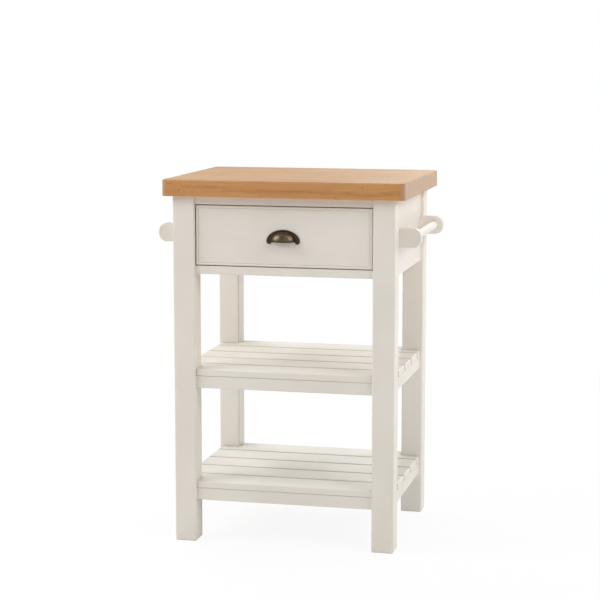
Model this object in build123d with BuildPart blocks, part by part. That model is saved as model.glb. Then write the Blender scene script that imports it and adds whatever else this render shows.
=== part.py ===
from build123d import *
import os
from math import radians, tan

os.makedirs("parts", exist_ok=True)

# Kitchen island in millimetres. The origin is on the floor, midway between the four legs.
# X runs to the right, Y runs to the back and Z runs up. The drawer pulls out towards -Y.

# Legs
frame_width = 550
frame_depth = 460
leg_height = 860
leg_side = 54
leg_edge_radius = 3
foot_chamfer = 2.5

# Worktop of edge-glued staves
top_thickness = 40
top_side_overhang = 25
top_front_overhang = 15
top_corner_radius = 15
top_edge_radius = 3
top_lower_edge_radius = 1.5
stave_count = 10

# Aprons and rails
setback = 7
board_thickness = 20
apron_height = 190
drawer_rail_height = 20
drawer_rail_depth = 40
edge_easing = 1.5

# Mortise and tenon joints
tenon_thickness = 10
tenon_length = 25
mortise_end_gap = 1
apron_tenon_shoulder = 20
shelf_tenon_shoulder = 5
drawer_tenon_thickness = 12
drawer_tenon_width = 24
lap_dovetail_thickness = 14
lap_dovetail_neck = 22
lap_dovetail_slope = 9

# Slatted shelves
lower_shelf_top = 152
upper_shelf_top = 434
shelf_rail_height = 30
slat_thickness = 17
slat_count = 5
slat_gap = 6
slat_edge_radius = 3.2
slat_lower_easing = 1
leg_notch_gap = 1

# Drawer opening, runners and kickers
runner_tread = 16
guide_height = 20
stop_length = 40
stop_depth = 14
stop_height = 8
stop_spacing = 240

# Drawer box
drawer_side_gap = 2
drawer_front_gap = 2
drawer_lift = 0.3
drawer_top_gap = 2.7
drawer_back_gap = 26
front_thickness = 20
drawer_side_thickness = 12
drawer_back_thickness = 12
back_drop = 5
bottom_thickness = 6
bottom_height = 10
groove_depth = 6
groove_gap = 0.2
panel_end_gap = 0.5

# Bead round the drawer front
bead_width = 6
bead_stand = 1
bead_outer_radius = 2.4
bead_inner_radius = 1.6
quirk_width = 1.2
quirk_depth = 0.8
field_corner_radius = 7

# Dovetails of the drawer
front_lap = 6
tail_slope = 9
front_tail_count = 4
front_tail_width = 26
back_tail_count = 3
back_tail_width = 28

# Cup pull
pull_flange_half_width = 41
pull_flange_rise = 28.5
pull_lobe_radius = 6.25
pull_flange_thickness = 2
pull_flange_edge = 0.8
cup_half_width = 30
cup_reach = 23
cup_rise = 25.4
cup_wall = 1.8
cup_rim_drop = 11
boss_radius = 3.6
boss_length = 11
boss_spacing = 38
boss_rise = 8

# Towel rails
bracket_reach = 60
bracket_height = 46
bracket_thickness = 22
bracket_corner_radius = 20
bracket_easing = 1.5
towel_rail_diameter = 22
towel_rail_socket = 14
towel_rail_inset = 23

# Screws
wood_screw_radius = 2
wood_screw_head_radius = 4
wood_screw_head_height = 2.4
wood_screw_tip = 4
screw_hole_gap = 0.15
top_screw_bite = 22
slat_screw_bite = 11
bracket_screw_bite = 22
bracket_screw_spacing = 22
runner_screw_bite = 12
runner_screw_spacing = 120
bottom_screw_bite = 14
bottom_screw_spacing = 140
pull_screw_radius = 2
pull_screw_head_radius = 4.2
pull_screw_head_height = 2.6
pull_screw_bite = 9

# Planes and lines that several pieces share
half_width = frame_width / 2
half_depth = frame_depth / 2
inner_x = half_width - leg_side
inner_y = half_depth - leg_side
face_x = half_width - setback
face_y = half_depth - setback
apron_inside_x = face_x - board_thickness
apron_inside_y = face_y - board_thickness
apron_bottom = leg_height - apron_height
opening_bottom = apron_bottom + drawer_rail_height
opening_top = leg_height - drawer_rail_height
drawer_rail_back = -face_y + drawer_rail_depth
runner_inside_x = inner_x - runner_tread
opening_middle = (opening_bottom + opening_top) / 2
corners = {
    "front_left": (-1, -1),
    "front_right": (1, -1),
    "back_left": (-1, 1),
    "back_right": (1, 1),
}
sides = {"left": -1, "right": 1}
shelves = {"upper": upper_shelf_top, "lower": lower_shelf_top}


def outward(sign, near, far):
    """Span between two distances from the middle, on the side given by sign."""
    return (min(sign * near, sign * far), max(sign * near, sign * far))


def middle(span):
    """Middle of a span."""
    return (span[0] + span[1]) / 2


def block(x_span, y_span, z_span, mode=Mode.ADD):
    """Rectangular block between three spans, for the part being built."""
    with Locations((middle(x_span), middle(y_span), middle(z_span))):
        Box(x_span[1] - x_span[0], y_span[1] - y_span[0], z_span[1] - z_span[0], mode=mode)


def save(part, name):
    """Name a finished piece and write it."""
    part.label = name
    export_step(part, f"parts/{name}.step")


# Joints that legs, rails and aprons share: each is a block of three spans


def tenon_along_x(sx, sy, z_span, reach):
    """Tenon that enters the leg at (sx, sy) along X."""
    board_middle = sy * (face_y - board_thickness / 2)
    y_span = (board_middle - tenon_thickness / 2, board_middle + tenon_thickness / 2)
    return outward(sx, inner_x, inner_x + reach), y_span, z_span


def tenon_along_y(sx, sy, z_span, reach):
    """Tenon that enters the leg at (sx, sy) along Y."""
    board_middle = sx * (face_x - board_thickness / 2)
    x_span = (board_middle - tenon_thickness / 2, board_middle + tenon_thickness / 2)
    return x_span, outward(sy, inner_y, inner_y + reach), z_span


def apron_tenons():
    """Heights of the twin tenons of an apron."""
    tenon_height = (apron_height - 3 * apron_tenon_shoulder) / 2
    first = apron_bottom + apron_tenon_shoulder
    second = first + tenon_height + apron_tenon_shoulder
    return [(first, first + tenon_height), (second, second + tenon_height)]


def shelf_rail_span(shelf_top):
    """Heights of the rails under a shelf."""
    rail_top = shelf_top - slat_thickness
    return rail_top - shelf_rail_height, rail_top


def shelf_tenon(shelf_top):
    """Heights of the tenons of the rails under a shelf."""
    low, high = shelf_rail_span(shelf_top)
    return low + shelf_tenon_shoulder, high - shelf_tenon_shoulder


def drawer_rail_tenon(sx, reach):
    """Flat tenon of the rail under the drawer."""
    y_middle = -face_y + drawer_rail_depth / 2
    z_middle = apron_bottom + drawer_rail_height / 2
    y_span = (y_middle - drawer_tenon_width / 2, y_middle + drawer_tenon_width / 2)
    z_span = (z_middle - drawer_tenon_thickness / 2, z_middle + drawer_tenon_thickness / 2)
    return outward(sx, inner_x, inner_x + reach), y_span, z_span


def lap_dovetail(sx):
    """Dovetail that hooks the rail over the drawer into the top of a front leg."""
    y_middle = -face_y + drawer_rail_depth / 2
    neck = lap_dovetail_neck / 2
    tip = neck + tenon_length * tan(radians(lap_dovetail_slope))
    near = sx * inner_x
    far = sx * (inner_x + tenon_length)
    with BuildPart() as tongue:
        with BuildSketch(Plane.XY.offset(leg_height - lap_dovetail_thickness)):
            Polygon(
                (near, y_middle - neck),
                (far, y_middle - tip),
                (far, y_middle + tip),
                (near, y_middle + neck),
                align=None,
            )
        extrude(amount=lap_dovetail_thickness)
    return tongue.part


def wood_screw(length):
    """Countersunk wood screw with its head at the origin and its point up."""
    with BuildPart() as screw:
        with BuildSketch(Plane.XZ):
            Polygon(
                (0, 0),
                (wood_screw_head_radius, 0),
                (wood_screw_radius, wood_screw_head_height),
                (wood_screw_radius, length - wood_screw_tip),
                (0, length),
                align=None,
            )
        revolve(axis=Axis.Z)
    return screw.part


def screw_hole(length):
    """Hole that takes a countersunk wood screw, with a running gap round it."""
    with BuildPart() as hole:
        with BuildSketch(Plane.XZ):
            Polygon(
                (0, 0),
                (wood_screw_head_radius + screw_hole_gap, 0),
                (wood_screw_radius + screw_hole_gap, wood_screw_head_height),
                (wood_screw_radius + screw_hole_gap, length),
                (0, length),
                align=None,
            )
        revolve(axis=Axis.Z)
    return hole.part


# Screw places: each is the seat of a head and the way the screw points
up = (0, 0, 0)
top_screw_length = drawer_rail_height + top_screw_bite
slat_screw_length = shelf_rail_height + slat_screw_bite
bracket_screw_length = board_thickness + bracket_screw_bite
runner_screw_length = apron_inside_x - inner_x + runner_screw_bite
bottom_screw_length = bottom_thickness + bottom_screw_bite

top_length = frame_width + 2 * top_side_overhang
top_depth = frame_depth + 2 * top_front_overhang
stave_width = top_depth / stave_count


def stave_span(index):
    """Front and back edges of a stave."""
    front = -top_depth / 2 + index * stave_width
    return front, front + stave_width


top_screw_staves = list(range(1, stave_count, 3))
top_screw_places = [
    Location((sign * (runner_inside_x + runner_tread / 2), middle(stave_span(index)), opening_top), up)
    for sign in sides.values()
    for index in top_screw_staves
]

shelf_depth = 2 * face_y
slat_width = (shelf_depth - (slat_count - 1) * slat_gap) / slat_count


def slat_span(index):
    """Front and back edges of a slat."""
    front = -shelf_depth / 2 + index * (slat_width + slat_gap)
    return front, front + slat_width


def slat_screw_y(index):
    """Middle of the part of a slat that lies on the side rails between the legs."""
    front, back = slat_span(index)
    return (max(front, -inner_y) + min(back, inner_y)) / 2


def slat_screw_places(shelf_top):
    """Screws that come up through the side rails into the slats."""
    rail_bottom = shelf_rail_span(shelf_top)[0]
    return [
        Location((sign * (face_x - board_thickness / 2), slat_screw_y(index), rail_bottom), up)
        for sign in sides.values()
        for index in range(slat_count)
    ]


bracket_middle_y = inner_y - bracket_thickness / 2


def bracket_screw_places(sign):
    """Screws that go out through an apron into its two brackets."""
    return [
        Location((sign * apron_inside_x, end * bracket_middle_y, opening_middle + offset), (0, sign * 90, 0))
        for end in (-1, 1)
        for offset in (-bracket_screw_spacing / 2, bracket_screw_spacing / 2)
    ]


def runner_screw_places(sign):
    """Screws that go out through a drawer guide into the apron."""
    return [
        Location((sign * inner_x, y, opening_bottom + guide_height / 2), (0, sign * 90, 0))
        for y in (-runner_screw_spacing, 0, runner_screw_spacing)
    ]


# Worktop: one rounded slab, cut into the staves that it is glued up from
with BuildPart() as slab:
    with BuildSketch(Plane.XY.offset(leg_height)):
        RectangleRounded(top_length, top_depth, top_corner_radius)
    extrude(amount=top_thickness)
    fillet(slab.faces().sort_by(Axis.Z)[-1].edges(), radius=top_edge_radius)
    fillet(slab.faces().sort_by(Axis.Z)[0].edges(), radius=top_lower_edge_radius)

top_screw_hole = screw_hole(top_screw_length)
for index in range(stave_count):
    with BuildPart() as stave:
        add(slab.part)
        block(
            (-top_length / 2, top_length / 2),
            stave_span(index),
            (leg_height, leg_height + top_thickness),
            mode=Mode.INTERSECT,
        )
        if index in top_screw_staves:
            with Locations(*top_screw_places):
                add(top_screw_hole, mode=Mode.SUBTRACT)
    save(stave.part, f"worktop_stave_{index + 1:02d}")

# Legs with a mortise for every rail and apron that enters them
mortise_reach = tenon_length + mortise_end_gap
for name, (sx, sy) in corners.items():
    with BuildPart() as leg:
        with BuildSketch():
            with Locations((sx * (half_width - leg_side / 2), sy * (half_depth - leg_side / 2))):
                Rectangle(leg_side, leg_side)
        extrude(amount=leg_height)
        chamfer(leg.faces().sort_by(Axis.Z)[0].edges(), length=foot_chamfer)
        fillet(leg.edges().filter_by(Axis.Z), radius=leg_edge_radius)
        for z_span in apron_tenons():
            block(*tenon_along_y(sx, sy, z_span, mortise_reach), mode=Mode.SUBTRACT)
            if sy > 0:
                block(*tenon_along_x(sx, sy, z_span, mortise_reach), mode=Mode.SUBTRACT)
        for shelf_top in shelves.values():
            block(*tenon_along_x(sx, sy, shelf_tenon(shelf_top), mortise_reach), mode=Mode.SUBTRACT)
            block(*tenon_along_y(sx, sy, shelf_tenon(shelf_top), mortise_reach), mode=Mode.SUBTRACT)
        if sy < 0:
            block(*drawer_rail_tenon(sx, mortise_reach), mode=Mode.SUBTRACT)
            add(lap_dovetail(sx), mode=Mode.SUBTRACT)
    save(leg.part, f"leg_{name}")

# Rail over the drawer, hooked into the front legs by lap dovetails
with BuildPart() as front_top_rail:
    block((-inner_x, inner_x), (-face_y, drawer_rail_back), (opening_top, leg_height))
    fillet(
        front_top_rail.edges().filter_by(Axis.X).group_by(Axis.Y)[0].sort_by(Axis.Z)[0],
        radius=edge_easing,
    )
    for sx in sides.values():
        add(lap_dovetail(sx))
save(front_top_rail.part, "front_top_rail")

# Rail under the drawer, which carries the drawer stops
with BuildPart() as front_bottom_rail:
    block((-inner_x, inner_x), (-face_y, drawer_rail_back), (apron_bottom, opening_bottom))
    fillet(front_bottom_rail.edges().filter_by(Axis.X).group_by(Axis.Y)[0], radius=edge_easing)
    for sx in sides.values():
        block(*drawer_rail_tenon(sx, tenon_length))
save(front_bottom_rail.part, "front_bottom_rail")

with BuildPart() as drawer_stops:
    for sx in sides.values():
        block(
            outward(sx, stop_spacing / 2 - stop_length / 2, stop_spacing / 2 + stop_length / 2),
            (-face_y + front_thickness + drawer_lift, -face_y + front_thickness + drawer_lift + stop_depth),
            (opening_bottom, opening_bottom + stop_height),
        )
save(drawer_stops.part, "drawer_stops")

# Side aprons, with the holes of the bracket screws and the guide screws
bracket_screw_hole = screw_hole(bracket_screw_length)
runner_screw_hole = screw_hole(runner_screw_length)
for side, sx in sides.items():
    with BuildPart() as side_apron:
        block(outward(sx, apron_inside_x, face_x), (-inner_y, inner_y), (apron_bottom, leg_height))
        fillet(side_apron.edges().filter_by(Axis.Y).group_by(Axis.Z)[0], radius=edge_easing)
        for sy in (-1, 1):
            for z_span in apron_tenons():
                block(*tenon_along_y(sx, sy, z_span, tenon_length))
        with Locations(*bracket_screw_places(sx)):
            add(bracket_screw_hole, mode=Mode.SUBTRACT)
        with Locations(*runner_screw_places(sx)):
            add(runner_screw_hole, mode=Mode.SUBTRACT)
    save(side_apron.part, f"{side}_apron")

with BuildPart() as back_apron:
    block((-inner_x, inner_x), (apron_inside_y, face_y), (apron_bottom, leg_height))
    fillet(back_apron.edges().filter_by(Axis.X).group_by(Axis.Z)[0], radius=edge_easing)
    for sx in sides.values():
        for z_span in apron_tenons():
            block(*tenon_along_x(sx, 1, z_span, tenon_length))
save(back_apron.part, "back_apron")

# Runners that carry the drawer and guide its sides, and kickers that stop it tipping
for side, sx in sides.items():
    with BuildPart() as runner:
        block(
            outward(sx, runner_inside_x, inner_x),
            (drawer_rail_back, apron_inside_y),
            (apron_bottom, opening_bottom),
        )
        block(
            outward(sx, inner_x, apron_inside_x),
            (-inner_y, inner_y),
            (apron_bottom, opening_bottom + guide_height),
        )
        with Locations(*runner_screw_places(sx)):
            add(runner_screw_hole, mode=Mode.SUBTRACT)
    save(runner.part, f"{side}_drawer_runner")

    with BuildPart() as kicker:
        block(
            outward(sx, runner_inside_x, inner_x),
            (drawer_rail_back, apron_inside_y),
            (opening_top, leg_height),
        )
        block(outward(sx, inner_x, apron_inside_x), (-inner_y, inner_y), (opening_top, leg_height))
        with Locations(*top_screw_places):
            add(top_screw_hole, mode=Mode.SUBTRACT)
    save(kicker.part, f"{side}_drawer_kicker")

# Shelves: four rails tenoned into the legs, and slats that lie on them
slat_screw_hole = screw_hole(slat_screw_length)
for shelf, shelf_top in shelves.items():
    rail_span = shelf_rail_span(shelf_top)
    for face, sy in (("front", -1), ("back", 1)):
        with BuildPart() as cross_rail:
            block((-inner_x, inner_x), outward(sy, apron_inside_y, face_y), rail_span)
            fillet(cross_rail.edges().filter_by(Axis.X).group_by(Axis.Z)[0], radius=edge_easing)
            for sx in sides.values():
                block(*tenon_along_x(sx, sy, shelf_tenon(shelf_top), tenon_length))
        save(cross_rail.part, f"{shelf}_shelf_{face}_rail")

    for side, sx in sides.items():
        with BuildPart() as side_rail:
            block(outward(sx, apron_inside_x, face_x), (-inner_y, inner_y), rail_span)
            fillet(side_rail.edges().filter_by(Axis.Y).group_by(Axis.Z)[0], radius=edge_easing)
            for sy in (-1, 1):
                block(*tenon_along_y(sx, sy, shelf_tenon(shelf_top), tenon_length))
            with Locations(*slat_screw_places(shelf_top)):
                add(slat_screw_hole, mode=Mode.SUBTRACT)
        save(side_rail.part, f"{shelf}_shelf_{side}_rail")

    for index in range(slat_count):
        with BuildPart() as slat:
            block((-face_x, face_x), slat_span(index), (shelf_top - slat_thickness, shelf_top))
            for sx, sy in corners.values():
                block(
                    outward(sx, inner_x - leg_notch_gap, half_width),
                    outward(sy, inner_y - leg_notch_gap, half_depth),
                    (shelf_top - slat_thickness, shelf_top),
                    mode=Mode.SUBTRACT,
                )
            fillet(slat.faces().sort_by(Axis.Z)[-1].edges(), radius=slat_edge_radius)
            chamfer(slat.faces().sort_by(Axis.Z)[0].edges(), length=slat_lower_easing)
            with Locations(*slat_screw_places(shelf_top)):
                add(slat_screw_hole, mode=Mode.SUBTRACT)
        save(slat.part, f"{shelf}_shelf_slat_{index + 1}")

# Drawer box: lapped dovetails at the front, through dovetails at the back
box_half_width = inner_x - drawer_side_gap
box_inside_x = box_half_width - drawer_side_thickness
side_bottom = opening_bottom + drawer_lift
side_top = opening_top - drawer_top_gap
front_bottom = opening_bottom + drawer_front_gap
front_top = opening_top - drawer_front_gap
front_back_y = -face_y + front_thickness
tail_tip_y = -face_y + front_lap
box_end_y = apron_inside_y - drawer_back_gap
back_front_y = box_end_y - drawer_back_thickness
panel_bottom = side_bottom + bottom_height
panel_top = panel_bottom + bottom_thickness
back_top = side_top - back_drop
field_y = -face_y + bead_stand
cup_rim_z = opening_middle - cup_rim_drop
boss_z = cup_rim_z + boss_rise


def tails(sx, shoulder_y, tip_y, low, high, count, tip_width):
    """Row of dovetails on a drawer side, spread evenly between two heights."""
    neck_width = tip_width - 2 * abs(tip_y - shoulder_y) * tan(radians(tail_slope))
    pitch = (high - low) / count
    x_span = outward(sx, box_inside_x, box_half_width)
    with BuildPart() as row:
        with BuildSketch(Plane.YZ.offset(x_span[0])):
            for number in range(count):
                z_middle = low + (number + 0.5) * pitch
                Polygon(
                    (shoulder_y, z_middle - neck_width / 2),
                    (tip_y, z_middle - tip_width / 2),
                    (tip_y, z_middle + tip_width / 2),
                    (shoulder_y, z_middle + neck_width / 2),
                    align=None,
                )
        extrude(amount=drawer_side_thickness)
    return row.part


def front_tails(sx):
    """Tails that enter the back of the drawer front."""
    return tails(sx, front_back_y, tail_tip_y, side_bottom, side_top, front_tail_count, front_tail_width)


def back_tails(sx):
    """Tails that pass right through the thickness of the drawer back."""
    return tails(sx, back_front_y, box_end_y, panel_top, back_top, back_tail_count, back_tail_width)


with BuildPart() as drawer_front:
    block(
        (-box_half_width, box_half_width),
        (-face_y, front_back_y),
        (front_bottom, front_top),
    )
    # The field is sunk inside the bead, and the quirk is a narrow channel along the bead
    field_width = 2 * (box_half_width - bead_width)
    field_height = front_top - front_bottom - 2 * bead_width
    with BuildSketch(Plane.XZ.offset(face_y)):
        with Locations((0, opening_middle)):
            RectangleRounded(field_width, field_height, field_corner_radius)
    extrude(amount=-bead_stand, mode=Mode.SUBTRACT)
    with BuildSketch(Plane.XZ.offset(face_y - bead_stand)):
        with Locations((0, opening_middle)):
            RectangleRounded(field_width, field_height, field_corner_radius)
            RectangleRounded(
                field_width - 2 * quirk_width,
                field_height - 2 * quirk_width,
                field_corner_radius - quirk_width,
                mode=Mode.SUBTRACT,
            )
    extrude(amount=-quirk_depth, mode=Mode.SUBTRACT)
    crest = drawer_front.faces().sort_by(Axis.Y)[0]
    fillet(crest.outer_wire().edges(), radius=bead_outer_radius)
    crest = drawer_front.faces().sort_by(Axis.Y)[0]
    fillet(crest.inner_wires()[0].edges(), radius=bead_inner_radius)
    for sx in sides.values():
        add(front_tails(sx), mode=Mode.SUBTRACT)
    block(
        (-box_inside_x, box_inside_x),
        (front_back_y - groove_depth, front_back_y),
        (panel_bottom, panel_top + groove_gap),
        mode=Mode.SUBTRACT,
    )
    for sign in (-1, 1):
        with Locations(Location((sign * boss_spacing / 2, front_back_y, boss_z), (90, 0, 0))):
            Cylinder(
                pull_screw_radius + screw_hole_gap,
                front_thickness,
                align=(Align.CENTER, Align.CENTER, Align.MIN),
                mode=Mode.SUBTRACT,
            )
save(drawer_front.part, "drawer_front")

for side, sx in sides.items():
    wall = outward(sx, box_inside_x, box_half_width)
    with BuildPart() as drawer_side:
        block(wall, (front_back_y, box_end_y), (side_bottom, side_top))
        block(wall, (back_front_y, box_end_y), (panel_top, back_top), mode=Mode.SUBTRACT)
        add(front_tails(sx))
        add(back_tails(sx))
        block(
            outward(sx, box_inside_x, box_inside_x + groove_depth),
            (front_back_y - groove_depth, box_end_y),
            (panel_bottom, panel_top + groove_gap),
            mode=Mode.SUBTRACT,
        )
    save(drawer_side.part, f"drawer_{side}_side")

bottom_screw_places = [
    Location((x, (back_front_y + box_end_y) / 2, panel_bottom), up)
    for x in (-bottom_screw_spacing, 0, bottom_screw_spacing)
]
bottom_screw_hole = screw_hole(bottom_screw_length)

with BuildPart() as drawer_back:
    block((-box_half_width, box_half_width), (back_front_y, box_end_y), (panel_top, back_top))
    for sx in sides.values():
        add(back_tails(sx), mode=Mode.SUBTRACT)
    with Locations(*bottom_screw_places):
        add(bottom_screw_hole, mode=Mode.SUBTRACT)
save(drawer_back.part, "drawer_back")

with BuildPart() as drawer_bottom:
    panel_half_width = box_inside_x + groove_depth - panel_end_gap
    block(
        (-panel_half_width, panel_half_width),
        (front_back_y - groove_depth + panel_end_gap, box_end_y),
        (panel_bottom, panel_top),
    )
    with Locations(*bottom_screw_places):
        add(bottom_screw_hole, mode=Mode.SUBTRACT)
save(drawer_bottom.part, "drawer_bottom")

# Cup pull: a quarter of an egg, open below, on a flange that ends in two round lobes
lobe_x = pull_flange_half_width - pull_lobe_radius
boss_places = [Location((sign * boss_spacing / 2, field_y, boss_z), (90, 0, 0)) for sign in (-1, 1)]


def quarter_egg(half_width, reach, rise):
    """Quarter of an egg that lies along X, in front of the drawer field and above the rim."""
    with BuildPart() as egg:
        with BuildSketch():
            Ellipse(half_width, reach)
            with Locations((0, reach)):
                Rectangle(2 * half_width, 2 * reach, mode=Mode.SUBTRACT)
        revolve(axis=Axis.X)
        block((-half_width, half_width), (-reach, 0), (0, reach), mode=Mode.INTERSECT)
    stretched = scale(egg.part, by=(1, 1, rise / reach))
    return stretched.moved(Location((0, field_y, cup_rim_z)))


cup_outside = quarter_egg(cup_half_width, cup_reach, cup_rise)
cup_inside = quarter_egg(cup_half_width - cup_wall, cup_reach - cup_wall, cup_rise - cup_wall)

with BuildPart() as bosses:
    with Locations(*boss_places):
        Cylinder(boss_radius, boss_length, align=(Align.CENTER, Align.CENTER, Align.MIN))
    add(cup_outside, mode=Mode.INTERSECT)

with BuildPart() as cup_pull:
    with BuildSketch(Plane.XZ.offset(-field_y)):
        with Locations((0, cup_rim_z)):
            Ellipse(pull_flange_half_width, pull_flange_rise)
        with Locations((0, cup_rim_z - pull_flange_rise)):
            Rectangle(2 * pull_flange_half_width, 2 * pull_flange_rise, mode=Mode.SUBTRACT)
        with Locations((-lobe_x, cup_rim_z), (lobe_x, cup_rim_z)):
            Circle(pull_lobe_radius)
    extrude(amount=pull_flange_thickness)
    fillet(cup_pull.faces().sort_by(Axis.Y)[0].edges(), radius=pull_flange_edge)
    add(cup_outside)
    add(cup_inside, mode=Mode.SUBTRACT)
    add(bosses.part)
    with Locations(*boss_places):
        Cylinder(
            pull_screw_radius + screw_hole_gap,
            pull_screw_bite + screw_hole_gap,
            align=(Align.CENTER, Align.CENTER, Align.MIN),
            mode=Mode.SUBTRACT,
        )
save(cup_pull.part, "cup_pull")

# Machine screws that come through the drawer front from inside the drawer
pull_screw_length = front_back_y - field_y + pull_screw_bite
with BuildPart() as pull_screws:
    for sign in (-1, 1):
        with Locations(Location((sign * boss_spacing / 2, front_back_y, boss_z), (90, 0, 0))):
            Cylinder(
                pull_screw_radius,
                pull_screw_length,
                align=(Align.CENTER, Align.CENTER, Align.MIN),
            )
            Cylinder(
                pull_screw_head_radius,
                pull_screw_head_height,
                align=(Align.CENTER, Align.CENTER, Align.MAX),
            )
save(pull_screws.part, "pull_screws")

# Towel rails: a round rail held between two brackets on each side apron
towel_rail_x = face_x + bracket_reach - towel_rail_inset
for side, sx in sides.items():
    for end, sy in (("front", -1), ("back", 1)):
        with BuildPart() as bracket:
            y_span = outward(sy, inner_y - bracket_thickness, inner_y)
            x_span = outward(sx, face_x, face_x + bracket_reach)
            with BuildSketch(Plane.XZ.offset(-y_span[1])) as outline:
                with Locations((middle(x_span), opening_middle)):
                    Rectangle(bracket_reach, bracket_height)
                fillet(
                    outline.vertices().sort_by(lambda vertex: sx * vertex.X)[-2:],
                    radius=bracket_corner_radius,
                )
            extrude(amount=bracket_thickness)
            wall_x = sx * face_x
            rims = [
                edge
                for face in (bracket.faces().sort_by(Axis.Y)[0], bracket.faces().sort_by(Axis.Y)[-1])
                for edge in face.edges()
                if abs(edge.center().X - wall_x) > bracket_easing
            ]
            fillet(rims, radius=bracket_easing)
            socket_mouth = (sx * towel_rail_x, sy * (inner_y - bracket_thickness), opening_middle)
            with Locations(Location(socket_mouth, (-90 * sy, 0, 0))):
                Cylinder(
                    towel_rail_diameter / 2 + screw_hole_gap,
                    towel_rail_socket,
                    align=(Align.CENTER, Align.CENTER, Align.MIN),
                    mode=Mode.SUBTRACT,
                )
            with Locations(*bracket_screw_places(sx)):
                add(bracket_screw_hole, mode=Mode.SUBTRACT)
        save(bracket.part, f"{side}_towel_bracket_{end}")

    rail_half_length = inner_y - bracket_thickness + towel_rail_socket
    with BuildPart() as towel_rail:
        with BuildSketch(Plane.XZ.offset(-rail_half_length)):
            with Locations((sx * towel_rail_x, opening_middle)):
                Circle(towel_rail_diameter / 2)
        extrude(amount=2 * rail_half_length)
    save(towel_rail.part, f"{side}_towel_rail")

# Wood screws, one group for each kind


def save_screws(places, length, name):
    """Group of like wood screws, each in its place."""
    one_screw = wood_screw(length)
    with BuildPart() as group:
        with Locations(*places):
            add(one_screw)
    save(group.part, name)


save_screws(top_screw_places, top_screw_length, "worktop_screws")
save_screws(
    [place for shelf_top in shelves.values() for place in slat_screw_places(shelf_top)],
    slat_screw_length,
    "shelf_slat_screws",
)
save_screws(
    [place for sign in sides.values() for place in bracket_screw_places(sign)],
    bracket_screw_length,
    "towel_bracket_screws",
)
save_screws(
    [place for sign in sides.values() for place in runner_screw_places(sign)],
    runner_screw_length,
    "drawer_runner_screws",
)
save_screws(bottom_screw_places, bottom_screw_length, "drawer_bottom_screws")
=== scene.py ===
"""Dressed scene of a painted kitchen island with an oiled oak worktop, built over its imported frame."""

import logging
import math
from collections.abc import Mapping, Sequence
from dataclasses import dataclass, field
from enum import Enum
from functools import cached_property, partialmethod, reduce
from typing import TypeAlias

import bmesh
import bpy
from mathutils import Matrix, Vector


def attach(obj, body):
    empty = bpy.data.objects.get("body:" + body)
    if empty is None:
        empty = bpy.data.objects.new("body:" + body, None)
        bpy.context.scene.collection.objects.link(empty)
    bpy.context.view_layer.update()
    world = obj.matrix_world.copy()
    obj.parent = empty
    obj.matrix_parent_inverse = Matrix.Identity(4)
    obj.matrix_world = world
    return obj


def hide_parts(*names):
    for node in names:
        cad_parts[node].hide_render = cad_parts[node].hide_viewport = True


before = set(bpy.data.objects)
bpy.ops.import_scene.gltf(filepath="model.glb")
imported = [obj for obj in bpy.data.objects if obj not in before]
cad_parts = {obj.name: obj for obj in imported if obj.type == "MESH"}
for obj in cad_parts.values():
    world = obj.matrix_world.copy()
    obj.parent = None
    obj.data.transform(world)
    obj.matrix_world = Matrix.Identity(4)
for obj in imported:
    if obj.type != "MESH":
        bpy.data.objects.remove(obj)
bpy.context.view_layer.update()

log = logging.getLogger("kitchen_island")

Colour: TypeAlias = tuple[float, float, float]
Term: TypeAlias = "Signal | float"
Three: TypeAlias = "tuple[Signal, Signal, Signal]"
Settings: TypeAlias = Mapping[str, object] | None
Values: TypeAlias = Mapping[int | str, object] | None
Loop: TypeAlias = list[bmesh.types.BMVert]

WHITE: Colour = (1.0, 1.0, 1.0)
WELD: float = 1e-6


class Grain(Enum):
    """The axis that the fibres of a board run along."""

    ALONG_X = 0
    ALONG_Y = 1
    ALONG_Z = 2

    def scale(self, fibre: float, across: float) -> tuple[float, ...]:
        """Scale on each axis of a pattern that is drawn out along the fibres."""
        return tuple(fibre if axis == self.value else across for axis in range(3))


class Painted(Enum):
    """What a painted piece is, where that changes its paint."""

    BOARD = ""
    DRAWER_FRONT = "_drawer_front"
    DOWEL = "_dowel"
    SHELF_RAIL = "_shelf_rail"
    SLAT = "_slat"


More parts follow.
